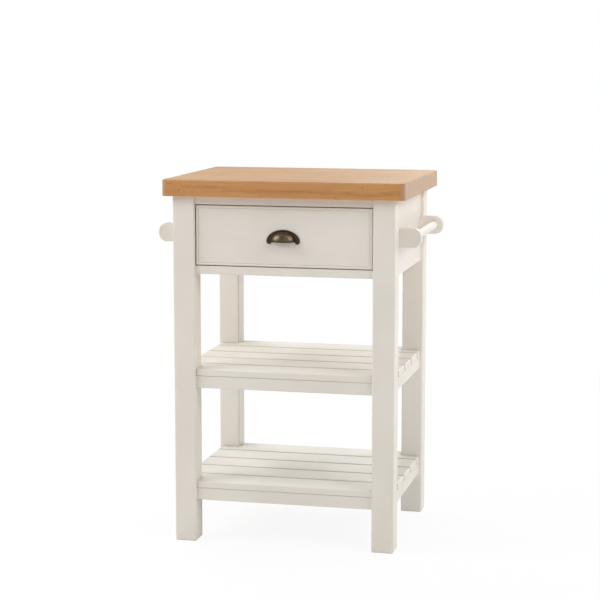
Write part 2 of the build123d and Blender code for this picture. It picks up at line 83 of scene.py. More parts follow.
class Signal:
    """One output inside a node tree, which can be summed like a number.

    Its whole is the whole number at or below it, and its part is what it has over that.
    """

    def __init__(self, sheet: "NodeSheet", socket: bpy.types.NodeSocket) -> None:
        """Keeps the output and the sheet that its sums are added to."""
        self.sheet = sheet
        self.socket = socket

    def sum_with(self, operation: str, *others: Term) -> "Signal":
        """The result of a Math node on this and then the others, which may be numbers."""
        return self.sheet.signal("ShaderNodeMath", {"operation": operation}, dict(enumerate((self, *others))))

    def sum_after(self, operation: str, other: Term) -> "Signal":
        """The result of a Math node on the other and then this, for the reflected operators."""
        return self.sheet.signal("ShaderNodeMath", {"operation": operation}, {0: other, 1: self})

    __add__, __radd__ = partialmethod(sum_with, "ADD"), partialmethod(sum_after, "ADD")
    __sub__, __rsub__ = partialmethod(sum_with, "SUBTRACT"), partialmethod(sum_after, "SUBTRACT")
    __mul__, __rmul__ = partialmethod(sum_with, "MULTIPLY"), partialmethod(sum_after, "MULTIPLY")
    __truediv__, __rtruediv__ = partialmethod(sum_with, "DIVIDE"), partialmethod(sum_after, "DIVIDE")
    __abs__ = partialmethod(sum_with, "ABSOLUTE")
    whole = partialmethod(sum_with, "FLOOR")
    part = partialmethod(sum_with, "FRACT")
    root = partialmethod(sum_with, "SQRT")
    least = partialmethod(sum_with, "MINIMUM")
    most = partialmethod(sum_with, "MAXIMUM")

    def rise(self, low: float, high: float) -> "Signal":
        """A soft step from 0 at the low value to 1 at the high one."""
        smooth = {"interpolation_type": "SMOOTHSTEP"}
        return self.sheet.signal("ShaderNodeMapRange", smooth, {0: self, 1: low, 2: high, 3: 0.0, 4: 1.0})

    def band(self, middle: float, reach: float) -> "Signal":
        """A soft band that is 1 at its middle and 0 a reach away."""
        return 1 - abs(self - middle).rise(0.0, reach)


class NodeSheet:
    """A node tree of a material, of the world or of a Geometry Nodes group."""

    def __init__(self, tree: bpy.types.NodeTree) -> None:
        """Keeps the tree that nodes are added to."""
        self.tree = tree

    @classmethod
    def emptied(cls, owner: bpy.types.Material | bpy.types.World) -> "NodeSheet":
        """Clears the nodes of a material or a world.

        Args:
            owner: The material or the world.

        Returns:
            Its empty sheet.
        """
        owner.use_nodes = True
        owner.node_tree.nodes.clear()
        return cls(owner.node_tree)

    def add(self, kind: str, settings: Settings = None, values: Values = None) -> bpy.types.Node:
        """Adds a node, sets it and then fills its sockets.

        Args:
            kind: The node's type.
            settings: Its own settings. A ramp takes "stops", pairs of a place and a colour.
            values: Numbers, colours or outputs, by the name or number of the socket.

        Returns:
            The node.
        """
        node = self.tree.nodes.new(kind)
        for name, setting in (settings or {}).items():
            if name == "stops":
                self._set_stops(node.color_ramp, setting)
            else:
                setattr(node, name, setting)
        for name, value in (values or {}).items():
            socket = node.inputs[name]
            if isinstance(value, Signal):
                self.tree.links.new(value.socket, socket)
            elif isinstance(value, tuple) and socket.type == "RGBA":
                socket.default_value = (*value, 1.0)
            else:
                socket.default_value = value
        return node

    @staticmethod
    def _set_stops(ramp: bpy.types.ColorRamp, stops: Sequence[tuple[float, Colour]]) -> None:
        """Sets the stops of a ramp.

        Args:
            ramp: The ramp.
            stops: Pairs of a place and a colour, from low to high.
        """
        for index, (place, colour) in enumerate(stops):
            stop = ramp.elements[index] if index < 2 else ramp.elements.new(place)
            stop.position = place
            stop.color = (*colour, 1.0)

    def signal(
        self, kind: str, settings: Settings = None, values: Values = None, output: int | str = 0
    ) -> Signal:
        """Adds a node and gives one of its outputs."""
        return Signal(self, self.add(kind, settings, values).outputs[output])

    def blend(self, share: Term, first: Signal | Colour, second: Signal | Colour, way: str = "MIX") -> Signal:
        """The first colour with a share of the second in it."""
        settings = {"data_type": "RGBA", "blend_type": way}
        return self.signal("ShaderNodeMix", settings, {0: share, 6: first, 7: second}, 2)

    def coats(self, tone: Signal, *layers: tuple) -> Signal:
        """Lays colours over a tone, one after the other.

        Args:
            tone: What they are laid on.
            *layers: The share and colour of each, and its blend type if it isn't a plain mix.

        Returns:
            The colour that comes out.
        """
        for share, colour, *way in layers:
            tone = self.blend(share, tone, colour, *way)
        return tone

    @cached_property
    def place(self) -> Signal:
        """Place of a point in the shared frame, in metres."""
        return self.signal("ShaderNodeTexCoord", output="Object")

    @cached_property
    def xyz(self) -> Three:
        """The three parts of that place."""
        return self.parts(self.place)

    @cached_property
    def facing(self) -> Three:
        """The three parts of the direction that a surface faces."""
        return self.parts(self.signal("ShaderNodeTexCoord", output="Normal"))

    def arris(self, reach: float) -> Signal:
        """Rounded edges, from 0 on a flat face to 1 where they turn most."""
        x, y, z = (abs(direction) for direction in self.facing)
        return (1 - x.most(y).most(z)).rise(0.03, reach)

    def seen_by(self, *kinds: str) -> Signal:
        """1 for the named kinds of ray and 0 for all others."""
        rays = self.add("ShaderNodeLightPath")
        return reduce(Signal.most, (Signal(self, rays.outputs[f"Is {kind} Ray"]) for kind in kinds))

    def parts(self, vector: Signal) -> Three:
        """The three parts of a vector."""
        node = self.add("ShaderNodeSeparateXYZ", values={0: vector})
        return tuple(Signal(self, output) for output in node.outputs)

    def vector(self, x: Term, y: Term, z: Term) -> Signal:
        """A vector from its three parts."""
        return self.signal("ShaderNodeCombineXYZ", values={0: x, 1: y, 2: z})

    def noise(
        self,
        scale: float | Sequence[float],
        shift: Signal | Colour = (0.0, 0.0, 0.0),
        detail: float = 2.0,
        roughness: float = 0.5,
    ) -> Signal:
        """Smooth noise.

        Args:
            scale: How many of its spots there are to a metre, on each axis or on all.
            shift: What is added to the scaled place.
            detail: How many finer layers it has.
            roughness: How strong they are.

        Returns:
            A value about 0.5.
        """
        factors = (scale,) * 3 if isinstance(scale, float) else scale
        multiply_add = {"operation": "MULTIPLY_ADD"}
        moved = self.signal("ShaderNodeVectorMath", multiply_add, {0: self.place, 1: factors, 2: shift})
        values = {"Vector": moved, "Scale": 1.0, "Detail": detail, "Roughness": roughness}
        return self.signal("ShaderNodeTexNoise", values=values)

    def chance(self, vector: Signal) -> Signal:
        """A random vector that stays the same where its input does."""
        return self.signal("ShaderNodeTexWhiteNoise", {"noise_dimensions": "3D"}, {"Vector": vector}, "Color")


class Finish:
    """A surface finish, which makes its material once for each variant."""

    slot: str = ""
    metallic: float = 0.0
    specular: float = 0.5
    relief_depth: float = 0.0001
    relief_share: float = 0.8
    made: dict[str, bpy.types.Material] = {}

    @property
    def title(self) -> str:
        """Name of the finish's material."""
        return self.slot

    def surface(self, sheet: NodeSheet) -> Three:
        """Works out what varies over the surface.

        Args:
            sheet: The material's nodes.

        Returns:
            Colour, roughness and height, the last as a share of the relief's depth.
        """
        raise NotImplementedError

    @property
    def material(self) -> bpy.types.Material:
        """The material of this finish, made on first use."""
        if self.title not in Finish.made:
            material = Finish.made[self.title] = bpy.data.materials.new(self.title)
            sheet = NodeSheet.emptied(material)
            tone, sheen, height = self.surface(sheet)
            relief = {"Strength": self.relief_share, "Distance": self.relief_depth, "Height": height}
            values = {
                "Base Color": tone,
                "Roughness": sheen,
                "Metallic": self.metallic,
                "Specular IOR Level": self.specular,
                "Normal": sheet.signal("ShaderNodeBump", values=relief),
            }
            shader = sheet.signal("ShaderNodeBsdfPrincipled", values=values)
            sheet.add("ShaderNodeOutputMaterial", values={"Surface": shader})
        return Finish.made[self.title]

    def dress(self, *names: str) -> None:
        """Gives CAD nodes this finish in place of any other.

        Args:
            *names: The nodes.
        """
        for name in names:
            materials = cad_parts[name].data.materials
            materials.clear()
            materials.append(self.material)


@dataclass(frozen=True)
class Knot:
    """A small knot on the front of the worktop, in metres."""

    x: float
    z: float
    size: float


@dataclass(frozen=True)
class Streak:
    """A long dark mineral streak on the front of the worktop, in metres."""

    x: float
    z: float
    reach: float
    width: float


@dataclass(frozen=True)
class OiledOak(Finish):
    """Oiled oak in glued staves that are butt jointed along their length."""

    slot: str = "oak_worktop"
    specular: float = 0.32
    relief_depth: float = 0.00022
    stave_width: float = 0.049
    front_edge: float = -0.245
    top: float = 0.9
    piece_length: float = 0.47
    front_joint: float = 0.1319
    ring_spacing: float = 0.0031
    end_shade: tuple[float, float] = (0.284, 0.297)
    pith_side: float = 0.13
    pith_depth: float = 0.012
    pith_spread: float = 0.07
    ring_wander: float = 0.016
    knot_unit: float = 0.0022
    knot_depth: tuple[float, float] = (0.012, 0.03)
    knot_swirl: float = 0.0075
    swirl_reach: float = 0.011
    heart_reach: float = 0.0024
    streak_wander: float = 0.012
    glue_line: tuple[float, float] = (0.010, 0.003)
    butt_line: tuple[float, float] = (0.0012, 0.0004)
    chip_reach: float = 0.0009
    chip_height: tuple[float, float] = (0.867, 0.871)
    honey: Colour = (0.82, 0.405, 0.132)
    pale: Colour = (0.90, 0.505, 0.195)
    brown: Colour = (0.47, 0.185, 0.045)
    pink: Colour = (0.86, 0.415, 0.165)
    yellow: Colour = (0.92, 0.50, 0.16)
    mineral: Colour = (0.36, 0.14, 0.04)
    pore: Colour = (0.16, 0.065, 0.02)
    ray: Colour = (0.74, 0.52, 0.30)
    heart: Colour = (0.13, 0.05, 0.018)
    glue: Colour = (0.17, 0.075, 0.025)
    chipped: Colour = (0.12, 0.05, 0.02)
    top_face_shade: Colour = (0.54, 0.585, 0.635)
    end_grain_and_sheen: Colour = (0.36, 0.285, 0.237)
    corner_shade: Colour = (0.40, 0.225, 0.105)
    knots: tuple[Knot, ...] = (Knot(-0.2542, 0.8762, 0.0022), Knot(0.1988, 0.8882, 0.0018))
    streaks: tuple[Streak, ...] = (
        Streak(0.028, 0.8785, 0.12, 0.0022),
        Streak(-0.17, 0.8850, 0.07, 0.0013),
        Streak(0.22, 0.8720, 0.06, 0.0016),
    )

    def surface(self, sheet: NodeSheet) -> Three:
        """Works out rings, pores, fibres, knots, joints and end grain.

        Args:
            sheet: The material's nodes.

        Returns:
            Colour, roughness and height.
        """
        x, y, z = sheet.xyz
        facing_x, _, facing_z = sheet.facing
        end_grain = abs(facing_x).rise(0.42, 0.86)
        long_grain = 1 - end_grain
        corner = abs(facing_x).rise(0.06, 0.30) * (1 - abs(facing_x).rise(0.80, 0.98))
        near_end = abs(x).rise(*self.end_shade) * long_grain
        across = (y - self.front_edge) / self.stave_width
        stave = across.whole().most(0.0)
        inner = stave.least(1.0)
        hop = sheet.parts(sheet.chance(sheet.vector(stave, 3.7, 1.3)))[0] * inner
        along = (x - self.front_joint * (1 - inner)) / self.piece_length + hop
        pick = sheet.chance(sheet.vector(stave, along.whole(), 8.1))
        first, second, third = sheet.parts(pick)

        wander = sheet.noise((2.4, 11.0, 11.0), pick)
        swirl = self._knot_field(sheet, self.swirl_reach)
        side = (across.part() - 0.5) * self.stave_width - (first - 0.5) * self.pith_side
        depth = z - self.top + self.pith_depth + second * self.pith_spread
        radius = (side * side + depth * depth).root() + wander * self.ring_wander + x * (third - 0.5) * 0.02
        ring = ((radius + swirl * self.knot_swirl) / self.ring_spacing).part()
        early = ring.rise(0.0, 0.16) * (1 - ring.rise(0.16, 0.6))

        lengthwise = sheet.noise((42.0, 1500.0, 1500.0), detail=1.0)
        crosswise = sheet.noise((1500.0, 2100.0, 2100.0), detail=1.0)
        pore_noise = lengthwise * long_grain + crosswise * end_grain
        pores = pore_noise.rise(0.60, 0.68) * (0.22 + early * 0.78)
        fibre = sheet.noise((9.0, 520.0, 520.0), pick, 3.0, 0.6)
        figure = sheet.noise((3.2, 62.0, 62.0), pick, 3.0, 0.55)
        patch = sheet.noise((6.5, 17.0, 9.0), (3.0, 6.0, 2.0))
        rays = sheet.noise((70.0, 900.0, 160.0), (5.0, 2.0, 7.0), 1.0).rise(0.66, 0.74) * long_grain
        heart = self._knot_field(sheet, self.heart_reach)
        joint = self._joint_lines(across, along)
        chip = x.band(self.front_joint, self.chip_reach) * (1 - z.rise(*self.chip_height)) * (1 - inner)

        tone = sheet.coats(
            sheet.blend(first, self.honey, self.pale),
            (second.rise(0.45, 1.0) * 0.75, self.pink),
            (patch.rise(0.50, 0.66) * 0.35, self.yellow),
            ((1 - patch.rise(0.34, 0.48)) * 0.40, self.pink),
            (figure.rise(0.46, 0.68) * 0.40, self.brown),
            (early * 0.26, self.brown),
            (fibre.rise(0.42, 0.75) * 0.22, self.brown),
            (pores * 0.5, self.pore),
            (rays * 0.3, self.ray),
            (self._streaks(x, z, figure) * long_grain * 0.5, self.mineral),
            (near_end * 0.22, self.brown),
            # End grain in its own colour with painted sheen in it, paler and greyer than bare oiled end
            # grain.
            (end_grain * 0.72, self.end_grain_and_sheen),
            # Painted shade darkens the rounded vertical corners of the worktop.
            (corner * 0.85, self.corner_shade),
            # Painted shade: upward faces are multiplied darker and greyer than the front.
            (facing_z.rise(0.25, 0.85), self.top_face_shade, "MULTIPLY"),
            (heart * 0.75, self.heart),
            (joint * 0.42, self.glue),
            (chip * 0.7, self.chipped),
        )
        worn = 1 - sheet.noise((7.0, 9.0, 9.0), (4.0, 1.0, 2.0), 3.0)
        sheen = 0.46 + pores * 0.2 + worn * 0.10 - rays * 0.08 + joint * 0.1
        height = 1 - pores * 0.75 - joint * 0.55 - early * 0.1 + fibre * 0.12 - heart * 0.3
        return tone, sheen, height

    def _knot_field(self, sheet: NodeSheet, reach: float) -> Signal:
        """Soft spots round the knots.

        Args:
            sheet: The material's nodes.
            reach: How far a spot of unit size spreads, in metres.

        Returns:
            1 at each knot, falling to 0.
        """
        x, y, z = sheet.xyz
        spots = []
        for knot in self.knots:
            wide, tall = (x - knot.x) * 0.5, z - knot.z
            away = (wide * wide + tall * tall).root() * (self.knot_unit / knot.size)
            spots.append(1 - away.rise(0.0, reach))
        near_front = 1 - y.rise(*(self.front_edge + depth for depth in self.knot_depth))
        return reduce(Signal.most, spots) * near_front

    def _streaks(self, x: Signal, z: Signal, figure: Signal) -> Signal:
        """Long soft streaks that wander with the figure.

        Args:
            x: Place along the front.
            z: Height.
            figure: The broad figure of the grain.

        Returns:
            1 in the middle of each streak, falling to 0.
        """
        level = z + (figure - 0.5) * self.streak_wander
        bands = (x.band(one.x, one.reach) * level.band(one.z, one.width) for one in self.streaks)
        return reduce(Signal.most, bands)

    def _joint_lines(self, across: Signal, along: Signal) -> Signal:
        """Thin glue lines between staves and between their lengths.

        Args:
            across: Place across the staves, in staves.
            along: Place along a stave, in lengths.

        Returns:
            1 on a glue line, 0.5 on a butt joint and 0 off them.
        """
        edge = abs(across.part() - 0.5).rise(*(0.5 - share for share in self.glue_line))
        butt = abs(along.part() - 0.5).rise(*(0.5 - share for share in self.butt_line))
        return edge.most(butt * 0.5)


def board_shades(sheet: NodeSheet, grain: Grain, pore_count: float = 26.0) -> Three:
    """Figure, fibres and pores of a plain board.

    Args:
        sheet: The material's nodes.
        grain: The axis of the fibres.
        pore_count: How many pores there are to a metre of fibre.

    Returns:
        Broad figure, fine fibres and pores, each about 0 to 1.
    """
    shift = (3.1, 1.7, 9.2)
    figure = sheet.noise(grain.scale(2.6, 38.0), shift, 3.0, 0.55)
    fibre = sheet.noise(grain.scale(11.0, 640.0), shift, 3.0, 0.6)
    pores = sheet.noise(grain.scale(pore_count, 1100.0), shift, 1.0).rise(0.62, 0.72)
    return figure, fibre, pores


@dataclass(frozen=True)
class IvoryPaint(Finish):
    """Ivory satin paint, brushed on hardwood, with softened arrises."""

    slot: str = "ivory_paint"
    relief_depth: float = 0.00009
    grain: Grain = Grain.ALONG_X
    piece: Painted = Painted.BOARD
    ivory: Colour = (0.735, 0.675, 0.602)
    light: Colour = (0.765, 0.712, 0.643)
    cream: Colour = (0.655, 0.57, 0.45)
    joint_and_gap_shade: Colour = (0.26, 0.205, 0.15)
    rear_painted_light: Colour = (0.86, 0.82, 0.76)
    slat_face_shade: Colour = (0.92, 0.95, 0.965)
    scuff: Colour = (0.50, 0.43, 0.34)
    bare_pale: Colour = (0.66, 0.49, 0.31)
    bare_warm: Colour = (0.52, 0.36, 0.21)
    lit_rear_part: tuple[float, float] = (0.10, 0.14)
    scuff_height: tuple[float, float] = (0.004, 0.055)
    slat_undersides: tuple[float, float] = (0.135, 0.417)
    joint_shade_reach: float = 0.0016
    shelf_face: tuple[float, float] = (0.221, 0.222)
    drawer_front_back: tuple[float, float] = (-0.2046, -0.2040)

    @property
    def title(self) -> str:
        """Name of this variant's material."""
        return f"{self.slot}_{self.grain.name.lower()}{self.piece.value}"

    def surface(self, sheet: NodeSheet) -> Three:
        """Works out brush marks, telegraphed grain, softened edges and tone.

        Args:
            sheet: The material's nodes.

        Returns:
            Colour, roughness and height.
        """
        _, y, z = sheet.xyz
        _, facing_y, facing_z = sheet.facing
        figure, fibre, pores = board_shades(sheet, self.grain)
        cloud = sheet.noise(5.0, (2.0, 8.0, 1.0))
        brush = sheet.noise(self.grain.scale(9.0, 300.0), (6.0, 1.0, 4.0), 2.0, 0.55)
        pull = sheet.noise(190.0, (1.0, 5.0, 2.0), 1.0)
        scuffs = sheet.noise((120.0, 120.0, 260.0), (0.0, 3.0, 0.0)).rise(0.56, 0.68)
        sheen = 0.40 + brush * 0.14 + pores * 0.08
        height = brush * 0.55 + pull * 0.25 + fibre * 0.2 - pores * 0.5

        layers = [(figure.rise(0.5, 0.75) * 0.10, self.cream), (pores * 0.10, self.cream)]
        if self.piece is Painted.BOARD:
            # Painted light: the front-facing faces of the rear legs, rear brackets and other rear boards are
            # lightened, as if more light reached them.
            forward = (0 - facing_y).rise(0.6, 0.95)
            layers.append((forward * y.rise(*self.lit_rear_part) * 0.7, self.rear_painted_light))
        if self.piece is not Painted.DOWEL:
            arris = sheet.arris(0.26)
            # Rubbed arrises: real wear in cream on most pieces, and on the slats a painted highlight in the
            # lighter ivory.
            rubbed = arris * (0.35 + pull * 0.9).least(1.0)
            layers.append((rubbed * 0.28, self.light if self.piece is Painted.SLAT else self.cream))
            sheen = sheen - arris * 0.08
        if self.piece in (Painted.SLAT, Painted.SHELF_RAIL):
            # Painted shade, with some dirt, darkens the joint line under the slats on the front and back
            # faces.
            low, high = (z.band(level, self.joint_shade_reach) for level in self.slat_undersides)
            layers.append((low.most(high) * abs(facing_y).rise(0.4, 0.65) * 0.45, self.joint_and_gap_shade))
        if self.piece is Painted.SLAT:
            # Painted shade: the slats' top and bottom faces are multiplied darker and cooler.
            layers.append((abs(facing_z).rise(0.6, 0.97), self.slat_face_shade, "MULTIPLY"))
            # Painted shade darkens the slats' side faces inside the gaps between them.
            shaded_gap = abs(facing_y).rise(0.6, 0.9) * (1 - abs(y).rise(*self.shelf_face))
            layers.append((shaded_gap * 0.55, self.joint_and_gap_shade))
        layers.append(((1 - z.rise(*self.scuff_height)) * scuffs * 0.22, self.scuff))
        if self.piece is Painted.DRAWER_FRONT:
            back = y.rise(*self.drawer_front_back)
            timber = sheet.blend(fibre.rise(0.3, 0.75), self.bare_pale, self.bare_warm)
            layers.append((back, timber))
            sheen = sheen + back * 0.2
        base = sheet.blend(cloud.rise(0.35, 0.68), self.ivory, self.light)
        return sheet.coats(base, *layers), sheen, height


@dataclass(frozen=True)
class BareTimber(Finish):
    """Bare sanded hardwood of the drawer box and its running gear."""

    slot: str = "drawer_timber"
    relief_depth: float = 0.00014
    grain: Grain = Grain.ALONG_Y
    pale: Colour = (0.66, 0.49, 0.31)
    warm: Colour = (0.52, 0.355, 0.205)
    end: Colour = (0.44, 0.29, 0.165)
    pore: Colour = (0.27, 0.16, 0.08)

    @property
    def title(self) -> str:
        """Name of this variant's material."""
        return f"{self.slot}_{self.grain.name.lower()}"

    def surface(self, sheet: NodeSheet) -> Three:
        """Works out figure, pores and darker end grain.

        Args:
            sheet: The material's nodes.

        Returns:
            Colour, roughness and height.
        """
        figure, fibre, pores = board_shades(sheet, self.grain, 60.0)
        end_grain = abs(sheet.facing[self.grain.value]).rise(0.55, 0.85)
        rings = (figure * 7.0 + fibre * 0.5).part()
        line = rings.rise(0.0, 0.5) * (1 - rings.rise(0.62, 1.0))
        tone = sheet.coats(
            sheet.blend(figure.rise(0.35, 0.7), self.pale, self.warm),
            (line * 0.22, self.warm),
            (fibre.rise(0.4, 0.8) * 0.25, self.warm),
            (pores * 0.3, self.pore),
            (end_grain * 0.6, self.end),
            (sheet.arris(0.3) * 0.2, self.pale),
        )
        sheen = 0.56 + fibre * 0.14 + end_grain * 0.12
        return tone, sheen, 0.5 + fibre * 0.4 - pores * 0.6 + line * 0.12


@dataclass(frozen=True)
class VeneeredBoard(Finish):
    """Thin plywood of the drawer bottom, with its plies on the edges."""

    slot: str = "drawer_base_board"
    relief_share: float = 0.7
    ply_height: float = 0.0012
    pale: Colour = (0.70, 0.55, 0.37)
    warm: Colour = (0.58, 0.42, 0.26)
    pore: Colour = (0.33, 0.21, 0.11)
    dark_ply: Colour = (0.36, 0.24, 0.14)

    def surface(self, sheet: NodeSheet) -> Three:
        """Works out peeled veneer on the faces and plies on the edges.

        Args:
            sheet: The material's nodes.

        Returns:
            Colour, roughness and height.
        """
        figure, fibre, pores = board_shades(sheet, Grain.ALONG_X, 40.0)
        waves = (sheet.noise((3.0, 13.0, 3.0), (0.0, 4.0, 0.0)) * 9.0).part()
        line = waves.rise(0.0, 0.35) * (1 - waves.rise(0.5, 1.0))
        face = sheet.coats(
            sheet.blend(figure.rise(0.35, 0.7), self.pale, self.warm),
            (line * 0.3, self.warm),
            (pores * 0.25, self.pore),
        )
        ply = (sheet.xyz[2] / self.ply_height).whole() * 0.5
        edge = sheet.blend(ply.part().rise(0.2, 0.3), self.pale, self.dark_ply)
        level = abs(sheet.facing[2]).rise(0.5, 0.8)
        return sheet.blend(level, edge, face), 0.5 + fibre * 0.16, 0.5 + fibre * 0.4 - pores * 0.4


@dataclass(frozen=True)
class AgedBrass(Finish):
    """Dark aged brass, rubbed brighter where fingers and cloths reach it."""

    slot: str = "aged_brass"
    metallic: float = 1.0
    relief_depth: float = 0.00006
    relief_share: float = 0.6
    dark: Colour = (0.056, 0.042, 0.026)
    bronze: Colour = (0.076, 0.057, 0.034)
    bright: Colour = (0.17, 0.132, 0.086)
    pit: Colour = (0.03, 0.024, 0.018)
    cup_root: tuple[float, float] = (-0.2278, -0.2243)
    crown_y: float = -0.2252
    crown_reach: float = 0.0007
    brim_height: tuple[float, float] = (0.7550, 0.7572)

    def surface(self, sheet: NodeSheet) -> Three:
        """Works out patina, rubbed places and fine pitting.

        Args:
            sheet: The material's nodes.

        Returns:
            Colour, roughness and height.
        """
        _, y, z = sheet.xyz
        cloud = sheet.noise(110.0, (1.0, 2.0, 3.0), 3.0, 0.6)
        pits = sheet.noise(1400.0).rise(0.58, 0.72)
        proud = 1 - y.rise(*self.cup_root)
        # Darker along the lowest band of the cup, near its lip.
        brim = (1 - z.rise(*self.brim_height)) * proud
        crown = y.band(self.crown_y, self.crown_reach)
        rub = (proud * 0.62 + cloud * 0.5 + crown * 0.6 - brim * 0.5).least(1.0)
        stops = ((0.0, self.dark), (0.3, self.dark), (0.82, self.bronze), (1.0, self.bright))
        patina = sheet.signal("ShaderNodeValToRGB", {"stops": stops}, {0: rub})
        sheen = 0.30 + cloud * 0.16 + pits * 0.2 - proud * 0.04
        return sheet.blend(pits * 0.45, patina, self.pit), sheen, 1 - pits * 0.6


@dataclass(frozen=True)
class ZincSteel(Finish):
    """Bright zinc plated steel of the screws."""

    slot: str = "zinc_steel"
    metallic: float = 1.0
    relief_depth: float = 0.00003
    relief_share: float = 0.5
    bright: Colour = (0.62, 0.62, 0.60)
    straw: Colour = (0.56, 0.50, 0.36)
    dull: Colour = (0.34, 0.33, 0.30)

    def surface(self, sheet: NodeSheet) -> Three:
        """Works out the straw tint and fine plating grain.

        Args:
            sheet: The material's nodes.

        Returns:
            Colour, roughness and height.
        """
        cloud = sheet.noise(260.0, (0.0, 1.0, 0.0))
        fine = sheet.noise(2200.0)
        plating = sheet.blend(cloud.rise(0.45, 0.62), self.bright, self.straw)
        return sheet.blend(fine.rise(0.55, 0.75) * 0.4, plating, self.dull), 0.28 + fine * 0.2, fine


OAK = OiledOak()
PAINT_X = IvoryPaint(grain=Grain.ALONG_X)
PAINT_Y = IvoryPaint(grain=Grain.ALONG_Y)
PAINT_Z = IvoryPaint(grain=Grain.ALONG_Z)
TIMBER_X = BareTimber(grain=Grain.ALONG_X)
TIMBER_Y = BareTimber(grain=Grain.ALONG_Y)
BRASS = AgedBrass()
ZINC = ZincSteel()


def in_scene(name: str, data: bpy.types.ID) -> bpy.types.Object:
    """Puts something in the scene at the origin.

    Args:
        name: Its name.
        data: Its mesh, light or camera.

    Returns:
        The object.
    """
    thing = bpy.data.objects.new(name, data)
    bpy.context.scene.collection.objects.link(thing)
    return thing


def looking(name: str, data: bpy.types.ID, place: Vector, ahead: Vector) -> bpy.types.Object:
    """Puts a lamp or a camera in its place and turns it.

    Args:
        name: Its name.
        data: Its light or camera.
        place: Where it is.
        ahead: The way that it looks.

    Returns:
        The object.
    """
    thing = in_scene(name, data)
    thing.location = place
    thing.rotation_mode = "QUATERNION"
    thing.rotation_quaternion = ahead.to_track_quat("-Z", "Y")
    return thing


def to_mesh(shape: bmesh.types.BMesh, name: str) -> bpy.types.Mesh:
    """Writes a shape to a new mesh, with its doubles merged and its faces outwards.

    Args:
        shape: The shape, which is freed.
        name: The mesh's name.

    Returns:
        The mesh.
    """
    bmesh.ops.remove_doubles(shape, verts=shape.verts, dist=WELD)
    bmesh.ops.recalc_face_normals(shape, faces=shape.faces)
    mesh = bpy.data.meshes.new(name)
    shape.to_mesh(mesh)
    shape.free()
    return mesh


@dataclass
class Pattern:
    """A Geometry Nodes group with named inputs, run once on a piece and then made plain."""

    title: str
    inputs: Mapping[str, str]

    def __post_init__(self) -> None:
        """Makes the group and its sockets, a geometry and a finish among them."""
        self.group = bpy.data.node_groups.new(self.title, "GeometryNodeTree")
        face = self.group.interface
        kinds = {"Geometry": "NodeSocketGeometry", **self.inputs, "Finish": "NodeSocketMaterial"}
        self.keys = {
            name: face.new_socket(name, in_out="INPUT", socket_type=kind).identifier
            for name, kind in kinds.items()
        }
        face.new_socket("Geometry", in_out="OUTPUT", socket_type=kinds["Geometry"])
        self.sheet = NodeSheet(self.group)
        self.entry = self.sheet.add("NodeGroupInput")

    def given(self, name: str) -> Signal:
        """One of the group's inputs."""
        return Signal(self.sheet, self.entry.outputs[name])

    def close(self, shape: Signal) -> "Pattern":
        """Ends the group in real geometry with its finish.

        Args:
            shape: The geometry that the group gives.

        Returns:
            The pattern.
        """
        real = self.sheet.signal("GeometryNodeRealizeInstances", values={0: shape})
        finish = {"Geometry": real, "Material": self.given("Finish")}
        dressed = self.sheet.signal("GeometryNodeSetMaterial", values=finish)
        self.sheet.add("NodeGroupOutput", values={0: dressed})
        return self

    def run(self, name: str, mesh: bpy.types.Mesh, **given: object) -> bpy.types.Object:
        """Runs the group on a mesh and keeps the result as a plain piece.

        Args:
            name: The piece's name.
            mesh: What the group starts from.
            **given: Values of the inputs, by name with _ for each space.

        Returns:
            The piece.
        """
        carrier = in_scene(f"{name}_carrier", mesh)
        modifier = carrier.modifiers.new(self.title, "NODES")
        modifier.node_group = self.group
        for key, value in given.items():
            modifier[self.keys[key.replace("_", " ")]] = value
        evaluated = carrier.evaluated_get(bpy.context.evaluated_depsgraph_get())
        plain = bpy.data.meshes.new_from_object(evaluated)
        carrier.modifiers.remove(modifier)
        bpy.data.objects.remove(carrier)
        plain.name = name
        return in_scene(name, plain)


def scatter_pattern() -> Pattern:
    """Group that sets one template on each point, turned to the point's aim and spin.

    Returns:
        The group.
    """
    pattern = Pattern("set_in_places", {"Template": "NodeSocketObject"})
    sheet = pattern.sheet
    points = sheet.signal("GeometryNodeMeshToPoints", values={0: pattern.given("Geometry")})
    source = {0: pattern.given("Template")}
    template = sheet.signal("GeometryNodeObjectInfo", values=source, output="Geometry")
    aim = sheet.signal("GeometryNodeInputNamedAttribute", {"data_type": "FLOAT_VECTOR"}, {"Name": "aim"})
    turn = sheet.signal("FunctionNodeAlignRotationToVector", {"axis": "Z"}, {"Vector": aim})
    chance = {2: 0.0, 3: math.tau, "Seed": 7}
    spin = sheet.signal("FunctionNodeRandomValue", {"data_type": "FLOAT"}, chance, 1)
    about = sheet.signal("FunctionNodeAxisAngleToRotation", values={"Axis": (0.0, 0.0, 1.0), "Angle": spin})
    spun = sheet.signal("FunctionNodeRotateRotation", {"rotation_space": "LOCAL"}, {0: turn, 1: about})
    values = {"Points": points, "Instance": template, "Rotation": spun}
    return pattern.close(sheet.signal("GeometryNodeInstanceOnPoints", values=values))


